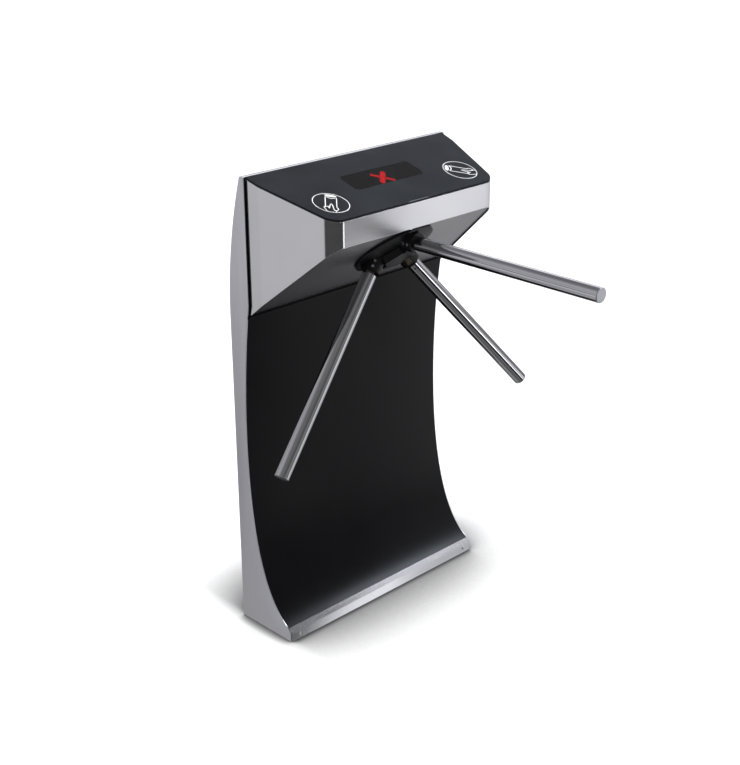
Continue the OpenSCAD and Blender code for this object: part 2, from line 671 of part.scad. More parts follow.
// Dished flange, middle boss, three sockets with open slots, and a neck down to the bearing.
module hub() color([0.13, 0.13, 0.14]) tripod_frame() difference() {
    union() {
        rotate_extrude($fn = 96) polygon([[0, flange_z], [hub_r - 1, flange_z], [hub_r, flange_z + 1],
            [hub_r, flange_z + flange_t], [hub_r - 6, flange_z + flange_t + 1.5],
            [crown_r + 8, flange_z + 11], [0, flange_z + 16]]);
        intersection() {
            union() {
                cylinder(r = crown_r, h = boss_top_z, $fn = 6);
                for (turn = ARM_TURNS) along_arm(turn) cylinder(r = socket_r, h = socket_end);
            }
            translate([0, 0, flange_z + 1]) cylinder(r = hub_r + 20, h = 60);
        }
        translate([0, 0, 12]) cylinder(r = neck_r, h = flange_z - 11);
        translate([0, 0, bearing_front_z]) cylinder(r = inner_ring_r, h = 7);
    }
    for (turn = ARM_TURNS) along_arm(turn) {
        translate([-socket_r - 10, -slot_w / 2, tongue_start]) cube([socket_r + 10 + slot_w / 2, slot_w, 90]);
        for (z = [socket_end - 8, socket_end - 20]) translate([0, 0, z]) rotate([90, 0, 0])
            cylinder(r = 3, h = 100, center = true);
    }
    translate([0, 0, bearing_front_z - 1]) cylinder(r = shaft_r, h = hub_bore_top_z - bearing_front_z + 1);
}
tongue_start = 62;

module hub_screws() color("silver") tripod_frame() for (turn = ARM_TURNS, z = [socket_end - 8, socket_end - 20],
    side = [-1, 1]) along_arm(turn) translate([0, side * slot_w / 2, z]) rotate([-side * 90, 0, 0]) difference() {
        cylinder(r = 2.9, h = socket_r - slot_w / 2 + 1);
        translate([0, 0, socket_r - slot_w / 2 - 1]) cylinder(r = 1.5, h = 4, $fn = 6);
    }

module arm_tube(turn) color("gainsboro") tripod_frame() along_arm(turn) difference() {
    cylinder(d = arm_d, h = arm_reach - cap_t, $fn = 64);
    translate([0, 0, -1]) cylinder(d = arm_d - 2 * arm_wall, h = arm_reach, $fn = 64);
    translate([0, 0, -1]) cylinder(d = arm_d + 10, h = arm_start + 1);
    translate([-arm_d, 0, arm_start + 9]) rotate([0, 90, 0]) cylinder(r = 2.5, h = arm_d);
}
cap_t = 2.5;
module arm_a_tube() arm_tube(ARM_TURNS[0]);
module arm_b_tube() arm_tube(ARM_TURNS[1]);
module arm_c_tube() arm_tube(ARM_TURNS[2]);

// A turned plug inside the tube with a square tongue that bolts into the hub's slot.
module arm_root(turn) color("darkgoldenrod") tripod_frame() along_arm(turn) {
    translate([0, 0, arm_start]) cylinder(d = arm_d - 2 * arm_wall, h = 40, $fn = 64);
    translate([-tongue / 2, -tongue / 2, tongue_start]) cube([tongue, tongue, arm_start - tongue_start]);
}
module arm_a_root() arm_root(ARM_TURNS[0]);
module arm_b_root() arm_root(ARM_TURNS[1]);
module arm_c_root() arm_root(ARM_TURNS[2]);

module arm_end_caps() color("lightgray") tripod_frame() for (turn = ARM_TURNS) along_arm(turn) {
    translate([0, 0, arm_reach - cap_t]) cylinder(d = arm_d, h = cap_t - 0.8, $fn = 64);
    translate([0, 0, arm_reach - 0.8]) cylinder(d1 = arm_d, d2 = arm_d - 1.6, h = 0.8, $fn = 64);
    translate([0, 0, arm_reach - cap_t - 12]) cylinder(d = arm_d - 2 * arm_wall, h = 12, $fn = 64);
}

left_side_plate();
right_side_plate();
back_cover();
front_panel();
base_plate();
cable_grommet();
left_rib();
right_rib();
foot_trim();
foot_trim_screws();
top_strip();
head_mount_plate();
head_shell();
underside_plate();
top_cover();
display_window();
display_board();
left_card_reader();
right_card_reader();
controller_board();
power_supply();
left_bracket();
right_bracket();
bracket_bolts();
front_bearing_plate();
rear_bearing_plate();
frame_spacers();
frame_bolts();
front_bearing_outer();
rear_bearing_outer();
pawl_pins();
lever_pin();
left_solenoid();
right_solenoid();
rotary_damper();
sensor_board();
hub();
hub_screws();
arm_a_tube();
arm_b_tube();
arm_c_tube();
arm_a_root();
arm_b_root();
arm_c_root();
arm_end_caps();
main_shaft();
bearing_inner_rings();
shaft_spacers();
lock_disc();
index_cam();
encoder_disc();
shaft_gear();
shaft_nut();
damper_pinion();
index_lever();
index_roller();
left_pawl();
right_pawl();
left_plunger();
right_plunger();
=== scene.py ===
"""Finished looks for a tripod turnstile: brushed steel column, black panel, reader head, hub and arms."""
import math

import bmesh
import bpy
import numpy as np
from bpy.props import FloatProperty, FloatVectorProperty, PointerProperty
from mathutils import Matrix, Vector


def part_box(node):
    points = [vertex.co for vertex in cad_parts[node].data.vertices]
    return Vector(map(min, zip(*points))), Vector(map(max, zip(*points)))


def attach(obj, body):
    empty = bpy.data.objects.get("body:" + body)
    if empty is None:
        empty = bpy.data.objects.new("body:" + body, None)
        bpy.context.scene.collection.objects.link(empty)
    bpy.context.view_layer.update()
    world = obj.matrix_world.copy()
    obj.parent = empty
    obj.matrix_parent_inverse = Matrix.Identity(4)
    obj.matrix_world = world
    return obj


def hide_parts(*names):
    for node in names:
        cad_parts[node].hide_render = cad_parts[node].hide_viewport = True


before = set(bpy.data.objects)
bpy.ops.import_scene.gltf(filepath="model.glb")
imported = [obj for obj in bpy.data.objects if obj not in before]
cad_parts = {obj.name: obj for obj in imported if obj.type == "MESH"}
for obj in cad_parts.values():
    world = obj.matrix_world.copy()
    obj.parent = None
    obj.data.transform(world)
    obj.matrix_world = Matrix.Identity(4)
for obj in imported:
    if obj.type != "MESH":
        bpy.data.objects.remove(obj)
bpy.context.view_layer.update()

bl_info = {
    "name": "Tripod Turnstile",
    "version": (1, 0, 0),
    "blender": (4, 5, 0),
    "location": "View3D > Sidebar > Turnstile",
    "description": "Builds the finished pieces of a tripod turnstile around its packed frame",
    "category": "Add Mesh",
}

# ---- sizes read from the frame ----
SIDE_LOW, SIDE_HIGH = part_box("left_side_plate")
HEIGHT = SIDE_HIGH.z
BACK_Y = SIDE_HIGH.y
HALF_WIDTH = -SIDE_LOW.x
SHELL_LOW, SHELL_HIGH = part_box("head_shell")
HEAD_HALF = SHELL_HIGH.x
HEAD_REACH = BACK_Y - SHELL_LOW.y

# ---- camera, in metres, degrees, millimetres and shares of the long side ----
CAMERA_PLACE = (-1.95283, -2.04518, 1.66813)
CAMERA_TURN = (68.723, 0.088, -45.133)
CAMERA_LENS = 65.9465
CAMERA_SENSOR = 36.0
CAMERA_SHIFT = (-0.028046, -0.040769)

# ---- small sizes, in metres ----
SIDE_EDGE = 0.0005  # rounding of the side plates' rims
SHEET_EDGE = 0.0004  # rounding of the other sheets' rims
PANEL_GAP = 0.0003  # gap between the front panel and the head
FOLD_RADIUS = 0.002
COVER_ROUND = 0.0008  # how far in the cover's rim starts to round
COVER_DROP = 0.0006  # how far down the rounding reaches
COVER_FLAT = 0.003  # a ring near the rim that keeps the top face flat
COVER_CHAMFER = 0.0002
INK_LOW, INK_HIGH = 0.00002, 0.00014  # printed ink above the cover
RING_LINE = 0.0014
SYMBOL_TURN = math.radians(40.5)
BOARD_DROP = 0.0036  # diodes below the cover's lower face
MASK_LIP = 0.003
DIODE_COUNT = 8
DIODE_PITCH_X, DIODE_PITCH_Y = 0.0045, 0.0048
DIODE_CORNER = 0.0008
DIODE_RISE = 0.0014

# ---- what the steel mirrors ----
# Strength by compass angle: a dark room side, a bright edge, a front screen, a grey back.
AROUND = (
    (-180, 0.75), (-177, 0.01), (-58, 0.01), (-54, 0.35), (-47, 0.38), (-44.2, 1.65), (-42, 1.25), (-38, 1.1),
    (-20, 1.0), (20, 0.5), (35, 0.45), (60, 0.5), (100, 0.6), (130, 0.7), (166, 0.8), (180, 0.75),
)
# Strength by height, from straight down to straight up.
LEVELS = (
    (-1, 0.8), (-0.9, 0.25), (-0.82, 0.25), (-0.74, 0.9), (-0.6, 0.9), (-0.5, 0.75), (-0.36, 0.95), (-0.24,
                                                                                                     1.25),
    (-0.12, 1.3), (-0.06, 0.2), (0.03, 0.2), (0.08, 1.1), (0.3, 0.8), (0.6, 1.0), (0.8, 0.5), (0.87, 0.15),
    (0.93, 0.15), (1, 0.5),
)
# The dark side is a belt: pale floor below it and pale ceiling above it.
BELT = (
    (-1, 0.4), (-0.9, 0.12), (-0.75, 0.3), (-0.6, 0.1), (-0.5, 0.01), (-0.16, 0.01), (-0.07, 0.3), (0.2,
                                                                                                    0.34),
    (0.4, 0.12), (0.7, 0.25), (1, 0.3),
)
# Soft lamps seen only in reflections: compass angle, height angle, bright and faded radius, colour.
# One is high on the right, one behind on the right, and two small ones are in front.
SOFT_LAMPS = (
    (0, 56, 12, 23, (0.92, 1.0, 1.12, 1)),
    (48, 22, 7, 18, (0.055, 0.055, 0.057, 1)),
    (-61, -17, 2.5, 6, (0.2, 0.2, 0.203, 1)),
    (-50, -33, 4, 9, (0.06, 0.06, 0.061, 1)),
)
AROUND_PEAK, LEVELS_PEAK, ROOM_PEAK = 4, 2, 8  # a ramp holds at most 1, so strengths are divided by these
FLOOR_HALF = 40.0
FLOOR_DROP = 0.0005  # keeps the floor clear of the feet


def linear(code):
    """An sRGB hex colour as linear red, green, blue and a full alpha."""
    parts = [int(code[i:i + 2], 16) / 255 for i in (1, 3, 5)]
    return tuple(c / 12.92 if c <= 0.04045 else ((c + 0.055) / 1.055) ** 2.4 for c in parts) + (1.0,)


# ---- outlines in the depth and height plane, in metres ----
def top_z(depth, head):
    """Height of the sloping top: a straight line falling forward from the back edge of the cover."""
    return HEIGHT - (depth - head.back) * math.tan(head.top_slope)


def under_z(depth, head):
    """Height of the head's lower edge: a straight line falling backward from the front band."""
    front_low = top_z(HEAD_REACH, head) - head.face_height
    return front_low - (HEAD_REACH - depth) * math.tan(head.under_slope)


def front_curve(column, head, inset=0.0, steps=96):
    """The column's front: a cubic curve from the neck to the toe, moved inward along its normal."""
    neck = np.array([column.neck_depth, under_z(head.back, head) + 0.022])
    toe = np.array([column.foot_depth - column.trim_slope, column.trim_face + column.trim_slope])
    a, b = column.neck_angle, column.foot_angle
    h1 = neck + column.neck_handle * np.array([-math.sin(a), -math.cos(a)])
    h2 = toe + column.foot_handle * np.array([-math.cos(b), math.sin(b)])
    t = np.linspace(0, 1, steps + 1)[:, None]
    point = (1 - t) ** 3 * neck + 3 * (1 - t) ** 2 * t * h1 + 3 * (1 - t) * t * t * h2 + t ** 3 * toe
    slope = 3 * (1 - t) ** 2 * (h1 - neck) + 6 * (1 - t) * t * (h2 - h1) + 3 * t * t * (toe - h2)
    normal = np.stack([slope[:, 1], -slope[:, 0]], 1) / np.linalg.norm(slope, axis=1)[:, None]
    return point + inset * normal


def back_curve(column, inset=0.0, steps=24):
    """The column's back: upright, then one arc that leans forward to the crown."""
    rise = HEIGHT - column.back_curve_start
    radius = (rise ** 2 + column.crown_depth ** 2) / (2 * column.crown_depth)
    r = radius - inset
    a = np.linspace(0, math.asin(rise / r), steps + 1)
    return np.stack([radius - r * np.cos(a), column.back_curve_start + r * np.sin(a)], 1)


# ---- meshes ----
def face_outward(mesh):
    """Turns the faces of each closed shell outward."""
    shell = bmesh.new()
    shell.from_mesh(mesh)
    bmesh.ops.recalc_face_normals(shell, faces=shell.faces)
    shell.to_mesh(mesh)
    shell.free()


def new_piece(name, points, faces, body, slot, material, replaces=(), sharp=32.0):
    """One finished piece: a mesh at the origin, smooth except at edges sharper than the given angle."""
    mesh = bpy.data.meshes.new(name)
    mesh.from_pydata([tuple(p) for p in np.asarray(points, float).tolist()], [], faces)
    mesh.validate()
    face_outward(mesh)
    mesh.polygons.foreach_set("use_smooth", np.ones(len(mesh.polygons), bool))
    mesh.set_sharp_from_angle(angle=math.radians(sharp))
    mesh.materials.append(material)
    obj = bpy.data.objects.new(name, mesh)
    bpy.context.scene.collection.objects.link(obj)
    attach(obj, body)
    if replaces:
        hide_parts(*replaces)
    return obj


def ring_faces(rings, count, first=0, closed_rings=False):
    """Quads between rings of equal count, laid one after another from a first index."""
    j = np.arange(count)
    k = (j + 1) % count
    pairs = [(r, (r + 1) % rings) for r in range(rings if closed_rings else rings - 1)]
    quads = [np.stack([first + a * count + j, first + a * count + k, first + b * count + k,
                       first + b * count + j], 1) for a, b in pairs]
    return np.concatenate(quads).tolist()


def offset_loop(loop, distance):
    """A closed plane outline moved inward: each corner slides along the bisector of its two sides."""
    ahead = np.roll(loop, -1, 0) - loop
    ahead /= np.linalg.norm(ahead, axis=1)[:, None]
    behind = np.roll(ahead, 1, 0)
    left = np.stack([-ahead[:, 1], ahead[:, 0]], 1)
    left_behind = np.stack([-behind[:, 1], behind[:, 0]], 1)
    middle = left + left_behind
    middle /= np.maximum(np.linalg.norm(middle, axis=1), 1e-9)[:, None]
    stretch = np.maximum((middle * left).sum(1), 0.5)[:, None]
    return loop + distance * middle / stretch


def extruded(outline, x0, x1, edge):
    """A plane outline of depth and height carried along X from x0 to x1.

    At angle a the rim stands at x0 + edge * (1 - cos a) and is drawn in by edge * (1 - sin a)."""
    loop = np.asarray(outline, float)
    nxt = np.roll(loop, -1, 0)
    if (loop[:, 0] * nxt[:, 1] - nxt[:, 0] * loop[:, 1]).sum() < 0:
        loop = loop[::-1]
    angles = np.linspace(0, math.pi / 2, 4)
    rings = [(x0 + edge * (1 - math.cos(a)), edge * (1 - math.sin(a))) for a in angles]
    rings += [(x0 + x1 - x, inset) for x, inset in rings[::-1]]
    n = len(loop)
    insets = [(x, offset_loop(loop, inset)) for x, inset in rings]
    points = np.concatenate([np.column_stack([np.full(n, x), BACK_Y - q[:, 0], q[:, 1]]) for x, q in insets])
    faces = ring_faces(len(rings), n)
    faces.append(list(range(n))[::-1])
    faces.append(list(range(n * (len(rings) - 1), n * len(rings))))
    return points, faces


def turned(profile, steps=96):
    """A profile of radius r and height z turned about Z: (r cos a, r sin a, z). Both ends are on the axis."""
    profile = np.asarray(profile, float)
    a = np.linspace(0, 2 * math.pi, steps, endpoint=False)
    inner = profile[1:-1]
    points = np.concatenate([np.column_stack([r * np.cos(a), r * np.sin(a), np.full(steps, z)])
                             for r, z in inner])
    points = np.concatenate([points, [[0, 0, profile[0][1]], [0, 0, profile[-1][1]]]])
    faces = ring_faces(len(inner), steps)
    low, high = len(inner) * steps, len(inner) * steps + 1
    last = (len(inner) - 1) * steps
    k = np.arange(steps)
    faces += np.stack([(k + 1) % steps, k, np.full(steps, low)], 1).tolist()
    faces += np.stack([last + k, last + (k + 1) % steps, np.full(steps, high)], 1).tolist()
    return points, faces


def from_top(points, head):
    """Points of the sloping top (x, distance forward from its back edge, height above) put in the frame.

    Depth grows by distance * cos + up * sin of the slope, and z by up * cos - distance * sin."""
    points = np.asarray(points, float)
    c, s = math.cos(head.top_slope), math.sin(head.top_slope)
    along, up = points[:, 1], points[:, 2]
    y = BACK_Y - head.back - along * c - up * s
    return np.column_stack([points[:, 0], y, HEIGHT - along * s + up * c])


def ribbon(points, width, low, high, closed=False):
    """A flat printed line of even width along plane points, raised from low to high."""
    p = np.asarray(points, float)
    step = (np.roll(p, -1, 0) - p) if closed else np.diff(p, axis=0)
    step = step / np.linalg.norm(step, axis=1)[:, None]
    if closed:
        before, after = np.roll(step, 1, 0), step
    else:
        before, after = np.vstack([step[:1], step]), np.vstack([step, step[-1:]])
    left = np.stack([-(before + after)[:, 1], (before + after)[:, 0]], 1)
    left /= np.linalg.norm(left, axis=1)[:, None]
    widen = np.maximum((left * np.stack([-after[:, 1], after[:, 0]], 1)).sum(1), 0.5)[:, None]
    a, b = p + left * width / 2 / widen, p - left * width / 2 / widen
    n = len(p)
    layers = [np.column_stack([q, np.full(n, z)]) for q, z in ((a, low), (b, low), (b, high), (a, high))]
    points3 = np.concatenate(layers)
    k = np.arange(n if closed else n - 1)
    m = (k + 1) % n
    faces = []
    for r in range(4):
        q = (r + 1) % 4
        faces += np.stack([r * n + k, r * n + m, q * n + m, q * n + k], 1).tolist()
    if not closed:
        faces += [[0, n, 2 * n, 3 * n], [n - 1, 4 * n - 1, 3 * n - 1, 2 * n - 1]]
    return points3, faces


def slab(outline, low, high):
    """A plane outline as a closed slab: one ring at each height, walls between them and a lid on both."""
    n = len(outline)
    points = np.vstack([np.column_stack([outline, np.full(n, z)]) for z in (low, high)])
    return points, ring_faces(2, n) + [list(range(n))[::-1], list(range(n, 2 * n))]


def joined(parts):
    """Several meshes as one: points stacked and face numbers moved on."""
    points, faces, first = [], [], 0
    for p, f in parts:
        points.append(np.asarray(p, float))
        faces += [[i + first for i in face] for face in f]
        first += len(p)
    return np.concatenate(points), faces


# ---- materials ----
def add_node(tree, kind, inputs=None, stops=(), **settings):
    """Adds a shader node, sets its options and colour stops, and gives each input a value or a link."""
    node = tree.nodes.new(kind)
    for extra in range(len(stops) - 2):
        node.color_ramp.elements.new(0.5)
    for i, (position, colour) in enumerate(stops):
        node.color_ramp.elements[i].position = position
        node.color_ramp.elements[i].color = colour
    for key, value in settings.items():
        setattr(node, key, value)
    for key, value in (inputs or {}).items():
        if isinstance(value, bpy.types.NodeSocket):
            tree.links.new(value, node.inputs[key])
        else:
            node.inputs[key].default_value = value
    return node


def new_material(name):
    """An empty material with its shader; returns the material, its tree and the shader node."""
    material = bpy.data.materials.new(name)
    material.use_nodes = True
    tree = material.node_tree
    return material, tree, tree.nodes["Principled BSDF"]


def streaks(tree, line, length, across):
    """Long thin noise for a brushed grain: a line's width and length, and the axes it changes along."""
    place = add_node(tree, "ShaderNodeTexCoord").outputs["Object"]
    scale = [1 / line if axis in across else 1 / length for axis in "XYZ"]
    moved = add_node(tree, "ShaderNodeMapping", {"Vector": place, "Scale": scale})
    noise = add_node(tree, "ShaderNodeTexNoise", {"Vector": moved.outputs["Vector"], "Scale": 1.0,
                                                  "Detail": 3.0, "Roughness": 0.6})
    return noise.outputs["Fac"]


def spots(tree, size):
    """Even noise whose patches are about the given size in metres."""
    place = add_node(tree, "ShaderNodeTexCoord").outputs["Object"]
    noise = add_node(tree, "ShaderNodeTexNoise", {"Vector": place, "Scale": 1 / size, "Detail": 2.0})
    return noise.outputs["Fac"]


def shade(code, gain):
    """A linear colour made lighter or darker."""
    c = linear(code)
    return tuple(min(1.0, x * gain) for x in c[:3]) + (1.0,)


def steel(name, code, rough, line, length, across, grain=0.15, depth=0.00001, spread=0.0, turn=0.0):
    """Stainless steel with a grain: streaks vary colour a little, roughness more, the surface slightly."""
    material, tree, shader = new_material(name)
    fine = streaks(tree, line, length, across)
    wide = spots(tree, 0.12)
    tone = add_node(tree, "ShaderNodeValToRGB", {"Fac": fine},
                    stops=[(0.3, shade(code, 0.96)), (0.7, shade(code, 1.03))])
    cloud = add_node(tree, "ShaderNodeValToRGB", {"Fac": wide},
                     stops=[(0.3, (0.95, 0.95, 0.96, 1)), (0.7, (1, 1, 1, 1))])
    mixed = add_node(tree, "ShaderNodeMix", {"Factor": 1.0, 6: tone.outputs[0], 7: cloud.outputs[0]},
                     data_type="RGBA", blend_type="MULTIPLY")
    roughness = add_node(tree, "ShaderNodeMapRange", {"Value": fine, "From Min": 0.3, "From Max": 0.7,
                                                      "To Min": rough * (1 - grain),
                                                      "To Max": rough * (1 + grain)})
    bump = add_node(tree, "ShaderNodeBump", {"Height": fine, "Strength": 0.2, "Distance": depth})
    tree.links.new(mixed.outputs[2], shader.inputs["Base Color"])
    tree.links.new(roughness.outputs["Result"], shader.inputs["Roughness"])
    tree.links.new(bump.outputs["Normal"], shader.inputs["Normal"])
    shader.inputs["Metallic"].default_value = 1.0
    if spread:
        shader.inputs["Anisotropic"].default_value = spread
        shader.inputs["Anisotropic Rotation"].default_value = turn
        tangent = add_node(tree, "ShaderNodeTangent", direction_type="RADIAL", axis="Z")
        tree.links.new(tangent.outputs["Tangent"], shader.inputs["Tangent"])
    return material


def coated(name, code, rough, size, depth, metallic=0.0, gloss=0.5, swing=0.08):
    """A paint, plastic or rubber skin: fine even pimples in the surface and a small change of gloss."""
    material, tree, shader = new_material(name)
    grain = spots(tree, size)
    wide = spots(tree, 0.09)
    tone = add_node(tree, "ShaderNodeValToRGB", {"Fac": wide},
                    stops=[(0.3, shade(code, 0.9)), (0.7, shade(code, 1.1))])
    roughness = add_node(tree, "ShaderNodeMapRange", {"Value": wide, "From Min": 0.3, "From Max": 0.7,
                                                      "To Min": rough * (1 - swing),
                                                      "To Max": rough * (1 + swing)})
    bump = add_node(tree, "ShaderNodeBump", {"Height": grain, "Strength": 0.4, "Distance": depth})
    tree.links.new(tone.outputs[0], shader.inputs["Base Color"])
    tree.links.new(roughness.outputs["Result"], shader.inputs["Roughness"])
    tree.links.new(bump.outputs["Normal"], shader.inputs["Normal"])
    shader.inputs["Metallic"].default_value = metallic
    shader.inputs["Specular IOR Level"].default_value = gloss
    return material


def circuit(name):
    """Green solder mask over copper: darker tracks in a small grid, and a soft gloss."""
    material, tree, shader = new_material(name)
    place = add_node(tree, "ShaderNodeTexCoord").outputs["Object"]
    bricks = add_node(tree, "ShaderNodeTexBrick", {"Vector": place, "Color1": linear("#1C5A38"),
                                                   "Color2": linear("#17492E"), "Mortar": linear("#2E7A4C"),
                                                   "Scale": 180.0, "Mortar Size": 0.03})
    tree.links.new(bricks.outputs["Color"], shader.inputs["Base Color"])
    shader.inputs["Roughness"].default_value = 0.35
    return material


def smoked(name):
    """Smoked acrylic: a dark see-through sheet with a gloss face and a faint haze."""
    material, tree, shader = new_material(name)
    haze = spots(tree, 0.03)
    roughness = add_node(tree, "ShaderNodeMapRange", {"Value": haze, "To Min": 0.08, "To Max": 0.14})
    tree.links.new(roughness.outputs["Result"], shader.inputs["Roughness"])
    shader.inputs["Base Color"].default_value = linear("#3A3A3E")
    shader.inputs["Specular IOR Level"].default_value = 0.08
    shader.inputs["Transmission Weight"].default_value = 1.0
    shader.inputs["IOR"].default_value = 1.2
    return material


def grey(value, blue=1.0):
    """A linear grey, its blue made a little stronger if asked."""
    return (value, value, value * blue, 1)


def lit(name, code, strength):
    """A lit red diode face: its own light, a little uneven from lens to lens."""
    material, tree, shader = new_material(name)
    glow = add_node(tree, "ShaderNodeValToRGB", {"Fac": spots(tree, 0.004)},
                    stops=[(0.3, shade(code, 0.8)), (0.7, shade(code, 1.1))])
    tree.links.new(glow.outputs[0], shader.inputs["Emission Color"])
    tree.links.new(glow.outputs[0], shader.inputs["Base Color"])
    shader.inputs["Emission Strength"].default_value = strength
    shader.inputs["Roughness"].default_value = 0.4
    return material


FINISH = {}


def make_finishes():
    """Every finish of the turnstile by name."""
    # Stainless sheet brushed with a fine belt: a soft sheen drawn out across the grain. The grain runs up the
    # column and along the head's wrap. Real lines are about 0.1 mm wide; 0.6 mm is as fine as shows.
    FINISH["upright_steel"] = steel("brushed_stainless_upright", "#BABABE", 0.32, 0.0006, 0.12, "XY",
                                    spread=0.5)
    FINISH["level_steel"] = steel("brushed_stainless_level", "#C2C2C4", 0.21, 0.0006, 0.15, "Z", spread=0.9,
                                  turn=0.25, grain=0.12, depth=0.000007)
    FINISH["under_steel"] = steel("brushed_stainless_under", "#BDBDC0", 0.36, 0.0006, 0.12, "YZ",
                                  depth=0.000006)
    FINISH["trim_steel"] = steel("brushed_stainless_trim", "#B8B8BB", 0.22, 0.0006, 0.15, "YZ",
                                 depth=0.000006)
    # Drawn stainless tube, buffed to a near mirror with faint lines left round it.
    FINISH["polished_steel"] = steel("polished_stainless_tube", "#B4B4B8", 0.10, 0.0015, 0.02, "XY",
                                     grain=0.3,
                                     depth=0.000004)
    # Faced end of a turned stainless plug: satin.
    FINISH["satin_steel"] = steel("turned_stainless_satin", "#A4A5A9", 0.33, 0.0008, 0.01, "XZ")
    # Powder-coated sheet: near black and matt, with an orange-peel skin about a millimetre across.
    FINISH["black_panel"] = coated("black_powder_coat", "#08080A", 0.36, 0.0012, 0.00002, gloss=0.075)
    # Black acrylic-faced cover with a matt hard coat: blue-black, with a wide soft sheen.
    FINISH["black_cover"] = coated("black_matt_acrylic", "#121417", 0.24, 0.0009, 0.000006, gloss=0.04)
    # Die-cast aluminium with a textured black paint: small dull highlights on its corners.
    FINISH["black_cast"] = coated("black_painted_casting", "#0B0B0D", 0.36, 0.0011, 0.00003, gloss=0.22)
    # Cast acrylic tinted grey: the board behind it shows dimly.
    FINISH["smoked_window"] = smoked("smoked_acrylic")
    # Mild steel plate with a thin grey zinc skin: dull, with faint crystals about 4 mm across.
    FINISH["plain_steel"] = coated("zinc_plated_steel", "#8E9196", 0.42, 0.004, 0.00002, metallic=1.0)
    # Machined steel: brighter and smoother than plate.
    FINISH["bright_steel"] = coated("machined_steel", "#B9BABD", 0.26, 0.002, 0.00001, metallic=1.0)
    # Sintered bronze full of oil: brown-grey with a greasy shine.
    FINISH["root_bronze"] = coated("oiled_bronze", "#7E786C", 0.35, 0.002, 0.00002, metallic=1.0)
    # Cut brass: warm yellow with a clean shine.
    FINISH["gear_brass"] = coated("cut_brass", "#C6A45A", 0.28, 0.002, 0.00001, metallic=1.0)
    # Glass-fibre board under green lacquer.
    FINISH["circuit_board"] = circuit("circuit_board")
    # Moulded ABS with a spark-eroded grain: dark grey and matt.
    FINISH["dark_plastic"] = coated("moulded_abs_dark", "#24262B", 0.48, 0.0008, 0.00003)
    # Moulded rubber: black and nearly without shine.
    FINISH["grommet_rubber"] = coated("moulded_rubber", "#19191A", 0.62, 0.001, 0.00004)
    # Screen-printed white ink, slightly chalky.
    FINISH["white_print"] = coated("screen_print_white", "#DCDCDC", 0.55, 0.0006, 0.00001)
    # Red diodes switched on.
    FINISH["red_diode"] = lit("red_diode_lit", "#E00814", 18.0)
    # Matt black solder mask round the diodes.
    FINISH["black_mask"] = coated("black_solder_mask", "#070807", 0.6, 0.001, 0.00001, gloss=0.2)


CAD_FINISH = {
    "brushed_stainless": "upright_steel", "polished_stainless": "polished_steel",
    "black_panel": "black_panel",
    "black_cover": "black_cover", "smoked_window": "smoked_window", "black_cast": "black_cast",
    "plain_steel": "plain_steel", "bright_steel": "bright_steel", "root_bronze": "root_bronze",
    "gear_brass": "gear_brass", "circuit_board": "circuit_board", "dark_plastic": "dark_plastic",
    "grommet_rubber": "grommet_rubber",
}
NODE_FINISH = {
    "display_board": "black_mask", "underside_plate": "under_steel", "arm_end_caps": "satin_steel",
    "foot_trim": "trim_steel", "head_shell": "level_steel", "top_strip": "trim_steel",
}


# ---- settings ----
class ColumnSizes(bpy.types.PropertyGroup):
    """Sizes of the column between floor and head."""
    foot_depth: FloatProperty(name="Foot depth", description="Front to back at the floor", default=0.160,
                              unit="LENGTH")
    neck_depth: FloatProperty(name="Neck depth", description="Front to back below the head", default=0.0595,
                              unit="LENGTH")
    back_curve_start: FloatProperty(name="Back curve start",
                                    description="Height where the back begins to lean",
                                    default=0.700, unit="LENGTH")
    crown_depth: FloatProperty(name="Crown depth", description="How far the back leans forward at the top",
                               default=0.046, unit="LENGTH")
    neck_handle: FloatProperty(name="Neck handle", description="Pull of the upper end of the front curve",
                               default=0.164, unit="LENGTH")
    neck_angle: FloatProperty(name="Neck angle", description="Lean of the front curve at the neck",
                              default=math.radians(11), unit="ROTATION")
    foot_handle: FloatProperty(name="Foot handle", description="Pull of the lower end of the front curve",
                               default=0.169, unit="LENGTH")
    foot_angle: FloatProperty(name="Foot angle", description="Rise of the front curve at the foot",
                              default=math.radians(28.6), unit="ROTATION")
    trim_face: FloatProperty(name="Trim face", description="Height of the trim's upright face",
                             default=0.0205,
                             unit="LENGTH")
    trim_slope: FloatProperty(name="Trim slope", description="Depth and height of the trim's sloping face",
                              default=0.009, unit="LENGTH")
    trim_gap: FloatProperty(name="Trim gap", description="How far the trim stops short of each side",
                            default=0.0012,
                            unit="LENGTH")
    sheet: FloatProperty(name="Sheet", description="Thickness of the steel sheets", default=0.002,
                         unit="LENGTH")
    panel: FloatProperty(name="Panel", description="Thickness of the black front panel", default=0.003,
                         unit="LENGTH")


